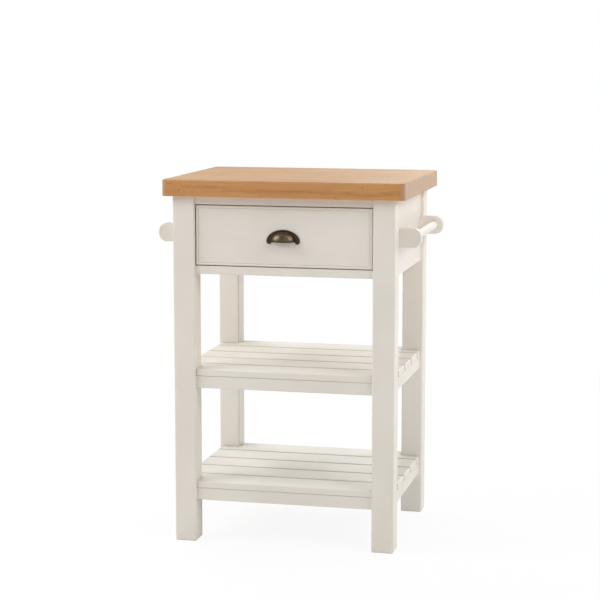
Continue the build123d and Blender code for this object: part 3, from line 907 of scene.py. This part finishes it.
def border_pattern() -> Pattern:
    """Group that lays beads side by side along a path, each turned along it.

    Returns:
        The group.
    """
    pattern = Pattern("bead_border", {"Bead Count": "NodeSocketInt", "Bead Size": "NodeSocketVector"})
    sheet = pattern.sheet
    path = sheet.signal("GeometryNodeMeshToCurve", values={0: pattern.given("Geometry")})
    spacing = {"Curve": path, "Count": pattern.given("Bead Count")}
    even = sheet.signal("GeometryNodeResampleCurve", values=spacing)
    tangent = sheet.signal("GeometryNodeInputTangent")
    turn = sheet.signal("FunctionNodeAlignRotationToVector", {"axis": "X"}, {"Vector": tangent})
    bead = sheet.signal("GeometryNodeMeshUVSphere", values={"Segments": 12, "Rings": 8, "Radius": 0.5})
    values = {"Points": even, "Instance": bead, "Rotation": turn, "Scale": pattern.given("Bead Size")}
    copies = sheet.signal("GeometryNodeInstanceOnPoints", values=values)
    return pattern.close(sheet.signal("GeometryNodeSetShadeSmooth", values={0: copies}))


def roll_pattern() -> Pattern:
    """Group that runs a round roll along a path.

    Returns:
        The group.
    """
    pattern = Pattern("rolled_lip", {"Roll Radius": "NodeSocketFloat"})
    sheet = pattern.sheet
    path = sheet.signal("GeometryNodeMeshToCurve", values={0: pattern.given("Geometry")})
    circle = {"Resolution": 12, "Radius": pattern.given("Roll Radius")}
    ring = sheet.signal("GeometryNodeCurvePrimitiveCircle", values=circle)
    values = {"Curve": path, "Profile Curve": ring, "Fill Caps": True}
    tube = sheet.signal("GeometryNodeCurveToMesh", values=values)
    return pattern.close(sheet.signal("GeometryNodeSetShadeSmooth", values={0: tube}))


def path_mesh(points: Sequence[Vector]) -> bpy.types.Mesh:
    """A line of edges through some points.

    Args:
        points: The points in order.

    Returns:
        The mesh.
    """
    mesh = bpy.data.meshes.new("path")
    mesh.from_pydata(points, [(i, i + 1) for i in range(len(points) - 1)], [])
    return mesh


@dataclass(frozen=True)
class ScrewPlace:
    """Where a screw's head is and the way that its point lies."""

    head: Vector
    aim: Vector


@dataclass(frozen=True)
class CrossHeadScrew:
    """Countersunk or pan head screw with a cross recess, its head at the origin and its point up, in metres.

    The recess is given in shares of the head, its floor in shares of its mouth, the core as a share of the
    shank and the point in pitches of the thread.
    """

    length: float
    head_radius: float = 0.004
    head_height: float = 0.0024
    shank_radius: float = 0.002
    countersunk: bool = True
    sides: int = 20
    rim_height: float = 0.0002
    recess_arm: float = 0.62
    recess_half_width: float = 0.15
    recess_depth: float = 0.62
    floor_arm: float = 0.55
    floor_half_width: float = 0.6
    thread_pitch: float = 0.0018
    core: float = 0.8
    point: float = 2.2

    def template(self) -> bpy.types.Object:
        """Builds the screw once, to be set in all of its places.

        Returns:
            The template, which is removed after use.
        """
        shape = bmesh.new()
        arm, half = self.head_radius * self.recess_arm, self.head_radius * self.recess_half_width
        rim = self._ring(shape, self.head_radius, 0.0)
        mouth = self._cross(shape, arm, half, 0.0)
        pairs = [(loop[i], loop[(i + 1) % len(loop)]) for loop in (rim, mouth) for i in range(len(loop))]
        edges = [shape.edges.new(pair) for pair in pairs]
        bmesh.ops.triangle_fill(shape, use_beauty=True, edges=edges, normal=(0, 0, -1))
        depth = self.head_height * self.recess_depth
        floor = self._cross(shape, arm * self.floor_arm, half * self.floor_half_width, depth)
        self._bridge(shape, mouth, floor)
        shape.faces.new(floor)
        last = rim
        for radius, z in self._outline():
            ring = self._ring(shape, radius, z)
            self._bridge(shape, last, ring)
            last = ring
        tip = shape.verts.new((0.0, 0.0, self.length))
        for i in range(self.sides):
            shape.faces.new((last[i], last[(i + 1) % self.sides], tip))
        return in_scene("screw_template", to_mesh(shape, "screw_template"))

    def _outline(self) -> list[tuple[float, float]]:
        """Works out the rings below the head's rim.

        Returns:
            Radius and height of each ring.
        """
        outline = [(self.head_radius, self.rim_height)]
        if not self.countersunk:
            outline.append((self.head_radius, self.head_height))
        outline.append((self.shank_radius, self.head_height))
        root = self.shank_radius * self.core
        z = self.head_height + self.thread_pitch
        while z < self.length - self.point * self.thread_pitch:
            outline += [(root, z), (self.shank_radius, z + self.thread_pitch * 0.5)]
            z += self.thread_pitch
        return [*outline, (root, z)]

    def _ring(self, shape: bmesh.types.BMesh, radius: float, z: float) -> Loop:
        """Ring of points at one height."""
        turns = (math.tau * i / self.sides for i in range(self.sides))
        return [shape.verts.new((radius * math.cos(a), radius * math.sin(a), z)) for a in turns]

    @staticmethod
    def _cross(shape: bmesh.types.BMesh, arm: float, half: float, z: float) -> Loop:
        """Draws a cross.

        Args:
            shape: The shape that it is drawn in.
            arm: How far its arms reach.
            half: Half their width.
            z: Its height.

        Returns:
            Its twelve points.
        """
        points = []
        for quarter in range(4):
            turn = Matrix.Rotation(math.tau * quarter / 4, 2)
            points += [turn @ Vector(place) for place in ((arm, -half), (arm, half), (half, half))]
        return [shape.verts.new((point.x, point.y, z)) for point in points]

    @staticmethod
    def _bridge(shape: bmesh.types.BMesh, first: Loop, second: Loop) -> None:
        """Joins two loops of equal length with a wall.

        Args:
            shape: The shape that they are in.
            first: One loop.
            second: The other.
        """
        for i in range(len(first)):
            j = (i + 1) % len(first)
            shape.faces.new((first[i], first[j], second[j], second[i]))


def screw_places(node: str) -> list[ScrewPlace]:
    """Reads where the screws of a CAD node are, from its loose solids.

    Args:
        node: The node of the screws.

    Returns:
        One place for each screw, its head at the outer face of the widest end.
    """
    shape = bmesh.new()
    shape.from_mesh(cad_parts[node].data)
    bmesh.ops.remove_doubles(shape, verts=shape.verts, dist=WELD)
    shape.verts.ensure_lookup_table()
    seen: set[int] = set()
    places = []
    for start in shape.verts:
        if start.index in seen:
            continue
        island, queue = [], [start]
        seen.add(start.index)
        while queue:
            vert = queue.pop()
            island.append(vert.co.copy())
            for edge in vert.link_edges:
                other = edge.other_vert(vert)
                if other.index not in seen:
                    seen.add(other.index)
                    queue.append(other)
        places.append(place_of(island))
    shape.free()
    return places


def place_of(points: Sequence[Vector]) -> ScrewPlace:
    """Finds the head and direction of one screw.

    Args:
        points: The points of its solid.

    Returns:
        Its place.
    """
    low, high = (Vector(pick(point[i] for point in points) for i in range(3)) for pick in (min, max))
    size, centre = high - low, (low + high) / 2
    axis = max(range(3), key=lambda i: size[i])

    def spread(end: float) -> float:
        """Widest distance from the axis near one end."""
        near = [point - centre for point in points if abs(point[axis] - end) < size[axis] * 0.1]
        return max(math.hypot(*(part for i, part in enumerate(point) if i != axis)) for point in near)

    at_low = spread(low[axis]) > spread(high[axis])
    head, aim = centre.copy(), Vector((0.0, 0.0, 0.0))
    head[axis] = low[axis] if at_low else high[axis]
    aim[axis] = 1.0 if at_low else -1.0
    return ScrewPlace(head, aim)


MACHINE_SCREW = CrossHeadScrew(0.0306, 0.0042, 0.0026, countersunk=False, thread_pitch=0.0008)


@dataclass(frozen=True)
class ScrewGroup:
    """Like screws that stand for one CAD node of screws."""

    node: str
    body: str
    screw: CrossHeadScrew

    def build(self, pattern: Pattern) -> None:
        """Sets a detailed screw in each of the node's places, all as one piece.

        Args:
            pattern: The group that sets a template on points.
        """
        places = screw_places(self.node)
        mesh = bpy.data.meshes.new(f"{self.node}_points")
        mesh.from_pydata([place.head for place in places], [], [])
        aims = mesh.attributes.new("aim", "FLOAT_VECTOR", "POINT")
        aims.data.foreach_set("vector", [part for place in places for part in place.aim])
        template = self.screw.template()
        piece = pattern.run(f"{self.node}_cross_head", mesh, Template=template, Finish=ZINC.material)
        bpy.data.objects.remove(template)
        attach(piece, self.body)
        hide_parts(self.node)
        log.info("%s: %d screws, %d faces", piece.name, len(places), len(piece.data.polygons))


@dataclass
class Worktop:
    """Oak worktop glued up from staves."""

    stave_count: int = 10

    def dress(self) -> None:
        """Oils the staves."""
        OAK.dress(*(f"worktop_stave_{number:02d}" for number in range(1, self.stave_count + 1)))
        log.info("worktop: %d staves", self.stave_count)


@dataclass
class PaintedFrame:
    """Legs, aprons, rails and brackets under the worktop."""

    legs: tuple[str, ...] = ("front_left", "front_right", "back_left", "back_right")
    shelves: tuple[str, ...] = ("upper", "lower")
    slat_count: int = 5

    def dress(self) -> None:
        """Paints each piece with the brush drawn along its grain."""
        PAINT_Z.dress(*(f"leg_{leg}" for leg in self.legs))
        PAINT_X.dress("front_top_rail", "front_bottom_rail", "back_apron")
        for side in ("left", "right"):
            PAINT_Y.dress(f"{side}_apron")
            PAINT_X.dress(f"{side}_towel_bracket_front", f"{side}_towel_bracket_back")
            IvoryPaint(grain=Grain.ALONG_Y, piece=Painted.DOWEL).dress(f"{side}_towel_rail")
            TIMBER_Y.dress(f"{side}_drawer_runner", f"{side}_drawer_kicker")
        TIMBER_X.dress("drawer_stops")
        rail_paint, slat_paint = IvoryPaint(piece=Painted.SHELF_RAIL), IvoryPaint(piece=Painted.SLAT)
        for shelf in self.shelves:
            rail_paint.dress(f"{shelf}_shelf_front_rail", f"{shelf}_shelf_back_rail")
            PAINT_Y.dress(f"{shelf}_shelf_left_rail", f"{shelf}_shelf_right_rail")
            slat_paint.dress(*(f"{shelf}_shelf_slat_{number}" for number in range(1, self.slat_count + 1)))
        log.info("painted frame: %d legs, %d shelves", len(self.legs), len(self.shelves))


@dataclass
class CupPull:
    """Aged brass cup pull with a beaded flange and a rolled lip, in metres.

    A bead's size is its length, its rise and its width. The flange droops below the rim on a flatter curve.
    """

    half_width: float = 0.041
    rise: float = 0.0285
    cup_half_width: float = 0.030
    cup_reach: float = 0.023
    rim_z: float = 0.754
    field_y: float = -0.222
    bead_count: int = 28
    bead_size: tuple[float, float, float] = (0.0046, 0.0030, 0.0036)
    bead_inset: float = 0.0012
    bead_standoff: float = 0.0016
    droop: float = math.radians(14)
    droop_share: float = 0.42
    border_steps: int = 96
    roll_radius: float = 0.00105
    roll_inset: float = 0.0009
    roll_setback: float = 0.00107
    roll_lift: float = 0.0004
    lip_steps: int = 48

    def build(self, borders: Pattern, rolls: Pattern) -> None:
        """Dresses the pull and adds its beaded border and rolled lip.

        Args:
            borders: The group that lays beads along a path.
            rolls: The group that runs a roll along a path.
        """
        BRASS.dress("cup_pull")
        beads = borders.run(
            "cup_pull_beading",
            path_mesh(self._border_path()),
            Bead_Count=self.bead_count,
            Bead_Size=self.bead_size,
            Finish=BRASS.material,
        )
        lip_path = path_mesh(self._lip_path())
        lip = rolls.run("cup_pull_rolled_lip", lip_path, Roll_Radius=self.roll_radius, Finish=BRASS.material)
        for piece in (beads, lip):
            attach(piece, "drawer")
            log.info("%s: %d faces", piece.name, len(piece.data.polygons))

    def _border_path(self) -> list[Vector]:
        """Draws the path of the beads.

        Returns:
            Points just inside the flange's edge, from lobe to lobe.
        """
        wide, tall = self.half_width - self.bead_inset, self.rise - self.bead_inset
        path = []
        for step in range(self.border_steps + 1):
            turn = (math.pi + 2 * self.droop) * step / self.border_steps - self.droop
            share = 1.0 if math.sin(turn) > 0 else self.droop_share
            height = self.rim_z + tall * share * math.sin(turn)
            path.append(Vector((wide * math.cos(turn), self.field_y - self.bead_standoff, height)))
        return path

    def _lip_path(self) -> list[Vector]:
        """Draws the path of the roll.

        Returns:
            Points round the mouth of the cup, from flange to flange.
        """
        wide, deep = self.cup_half_width - self.roll_inset, self.cup_reach - self.roll_setback
        height = self.rim_z + self.roll_lift
        path = []
        for step in range(self.lip_steps + 1):
            turn = math.pi * step / self.lip_steps
            path.append(Vector((wide * math.cos(turn), self.field_y - deep * math.sin(turn), height)))
        return path


@dataclass
class Drawer:
    """Dovetailed drawer with a painted front and a plywood bottom."""

    pull: CupPull = field(default_factory=CupPull)

    def dress(self) -> None:
        """Paints the front and leaves the box bare."""
        IvoryPaint(piece=Painted.DRAWER_FRONT).dress("drawer_front")
        TIMBER_Y.dress("drawer_left_side", "drawer_right_side")
        TIMBER_X.dress("drawer_back")
        VeneeredBoard().dress("drawer_bottom")
        log.info("drawer: box and front")


@dataclass(frozen=True)
class SkyLight:
    """Strength of the even light from each side, which fades into the next side's."""

    right: float = 0.25
    left: float = 0.25
    front: float = 0.52
    back: float = 0.50
    above: float = 0.25
    below: float = 0.0
    fade: float = 0.02


@dataclass(frozen=True)
class SoftLamp:
    """One square soft lamp that looks at the object, in metres and watts."""

    title: str
    place: Vector
    power: float
    colour: Colour
    side: float = 1.8
    aim_height: float = 0.5

    def hang(self) -> None:
        """Puts the lamp in the scene."""
        data = bpy.data.lights.new(self.title, "AREA")
        data.shape = "SQUARE"
        data.size = self.side
        data.energy = self.power
        data.color = self.colour
        looking(self.title, data, self.place, Vector((0.0, 0.0, self.aim_height)) - self.place)


@dataclass
class Studio:
    """Camera, pale floor and plain soft light, in metres and degrees."""

    camera_place: Vector = field(default_factory=lambda: Vector((1.036654, -4.400090, 1.224736)))
    turn: float = 13.3978
    tilt: float = 8.0972
    focal_pixels: float = 1798.856
    picture_pixels: float = 600.0
    sensor: float = 36.0
    sky: SkyLight = field(default_factory=SkyLight)
    floor_radius: float = 9.0
    floor_sides: int = 64
    floor_tone: Colour = (0.86, 0.86, 0.855)
    floor_white: float = 0.9
    shadow_reach: float = 2.6
    lamps: tuple[SoftLamp, ...] = (
        SoftLamp("right_front_softbox", Vector((2.7, -1.3, 2.5)), 55.0, (0.97, 0.985, 1.0)),
        SoftLamp("left_front_softbox", Vector((-2.7, -1.3, 2.5)), 76.0, (0.97, 0.985, 1.0)),
        SoftLamp("left_back_softbox", Vector((-2.3, 1.7, 2.4)), 49.0, (0.96, 0.985, 1.0)),
        SoftLamp("right_back_softbox", Vector((2.6, 1.9, 2.0)), 35.0, (0.94, 0.98, 1.0)),
        SoftLamp("back_softbox", Vector((0.5, 3.1, 2.2)), 30.0, (0.96, 0.985, 1.0)),
    )

    def build(self) -> None:
        """Sets up everything round the object."""
        self._camera()
        self._floor()
        self._world()
        for lamp in self.lamps:
            lamp.hang()
        bpy.context.scene.view_settings.view_transform = "Standard"
        log.info("studio: camera, floor and %d lamps", len(self.lamps))

    def _camera(self) -> None:
        """Places the camera where the picture was taken from."""
        data = bpy.data.cameras.new("camera")
        data.sensor_width = self.sensor
        data.lens = self.focal_pixels * self.sensor / self.picture_pixels
        turn, tilt = math.radians(self.turn), math.radians(self.tilt)
        ahead = Vector((-math.sin(turn) * math.cos(tilt), math.cos(turn) * math.cos(tilt), -math.sin(tilt)))
        bpy.context.scene.camera = looking("camera", data, self.camera_place, ahead)

    def _floor(self) -> None:
        """Lays a pale floor that keeps the object's shadow."""
        shape = bmesh.new()
        bmesh.ops.create_circle(shape, cap_ends=True, segments=self.floor_sides, radius=self.floor_radius)
        floor = in_scene("floor", to_mesh(shape, "floor"))
        material = bpy.data.materials.new("pale_floor")
        sheet = NodeSheet.emptied(material)
        lit = sheet.signal("ShaderNodeBsdfDiffuse", values={"Color": self.floor_tone})
        glow = sheet.signal("ShaderNodeEmission", values={"Color": WHITE, "Strength": 1.0})
        x, y, _ = sheet.xyz
        far = (x * x + y * y).root().rise(self.shadow_reach * 0.5, self.shadow_reach)
        share = sheet.seen_by("Camera", "Glossy") * (far * (1 - self.floor_white) + self.floor_white)
        mixed = sheet.signal("ShaderNodeMixShader", values={0: share, 1: lit, 2: glow})
        sheet.add("ShaderNodeOutputMaterial", values={"Surface": mixed})
        floor.data.materials.append(material)

    def _world(self) -> None:
        """Gives even light all round, and white where the camera, gloss or glass sees it."""
        world = bpy.context.scene.world = bpy.data.worlds.new("studio")
        sheet = NodeSheet.emptied(world)
        seen = sheet.seen_by("Camera", "Glossy", "Transmission")
        x, y, z = sheet.parts(sheet.signal("ShaderNodeTexCoord", output="Generated"))
        sides = (
            (x, self.sky.right, self.sky.left),
            (y, self.sky.back, self.sky.front),
            (z, self.sky.above, self.sky.below),
        )
        even = 0.0
        for way, ahead, behind in sides:
            even = way * way * (way.rise(-self.sky.fade, self.sky.fade) * (ahead - behind) + behind) + even
        strength = even * (1 - seen) + seen
        glow = sheet.signal("ShaderNodeBackground", values={"Color": WHITE, "Strength": strength})
        sheet.add("ShaderNodeOutputWorld", values={"Surface": glow})


@dataclass
class KitchenIsland:
    """The whole piece of furniture."""

    worktop: Worktop = field(default_factory=Worktop)
    painted_frame: PaintedFrame = field(default_factory=PaintedFrame)
    drawer: Drawer = field(default_factory=Drawer)
    screws: tuple[ScrewGroup, ...] = (
        ScrewGroup("worktop_screws", "frame", CrossHeadScrew(0.042)),
        ScrewGroup("shelf_slat_screws", "frame", CrossHeadScrew(0.041)),
        ScrewGroup("towel_bracket_screws", "frame", CrossHeadScrew(0.042)),
        ScrewGroup("drawer_runner_screws", "frame", CrossHeadScrew(0.0275)),
        ScrewGroup("drawer_bottom_screws", "drawer", CrossHeadScrew(0.02)),
        ScrewGroup("pull_screws", "drawer", MACHINE_SCREW),
    )

    def build(self) -> None:
        """Dresses every piece and adds the detailed ones."""
        self.worktop.dress()
        self.painted_frame.dress()
        self.drawer.dress()
        self.drawer.pull.build(border_pattern(), roll_pattern())
        scatter = scatter_pattern()
        for group in self.screws:
            group.build(scatter)


def main() -> None:
    """Builds the island and the studio, and reports each piece."""
    logging.basicConfig(level=logging.INFO, format="%(message)s")
    KitchenIsland().build()
    Studio().build()


if __name__ == "__main__":
    main()
